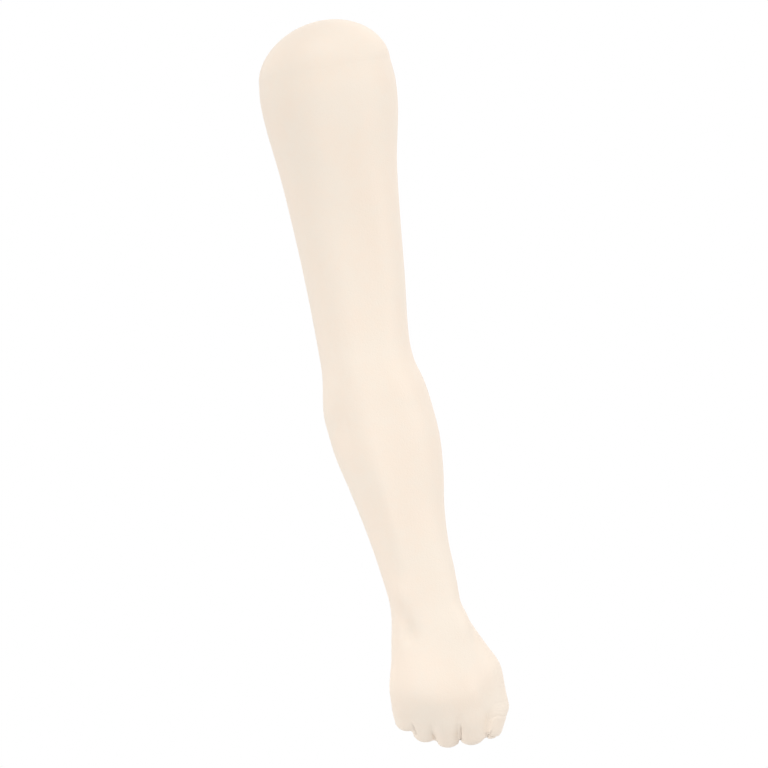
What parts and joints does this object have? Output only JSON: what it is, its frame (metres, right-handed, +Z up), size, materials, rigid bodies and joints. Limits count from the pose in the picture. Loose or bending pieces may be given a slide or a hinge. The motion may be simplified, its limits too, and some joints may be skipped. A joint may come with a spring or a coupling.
{
  "type": "tattoo practice arm",
  "caption": "Life-size soft practice arm for tattooing, from a domed shoulder stump to a loosely closed fist, with a silicone skin over a rigid foam core and a metal armature.",
  "frame": {"origin": "middle of the arm's footprint, on the table it lies on", "axes": "+X from the stump to the knuckles, +Y towards the thumb side, +Z up out of the back of the hand"},
  "size_m": [0.6368, 0.1218, 0.1067],
  "materials": {
    "silicone": "matte",
    "core_foam": "matte",
    "aluminium": "satin",
    "nylon": "satin",
    "steel": "satin"
  },
  "bodies": {
    "root": {"silicone_skin": "silicone", "stump_cap": "silicone", "upper_arm_core": "core_foam", "forearm_core": "core_foam", "palm_core": "core_foam", "upper_arm_tube": "aluminium", "forearm_tube": "aluminium", "elbow_coupler": "nylon", "upper_elbow_pin": "steel", "lower_elbow_pin": "steel", "palm_paddle": "aluminium", "paddle_pin": "steel"}
  },
  "joints": []
}
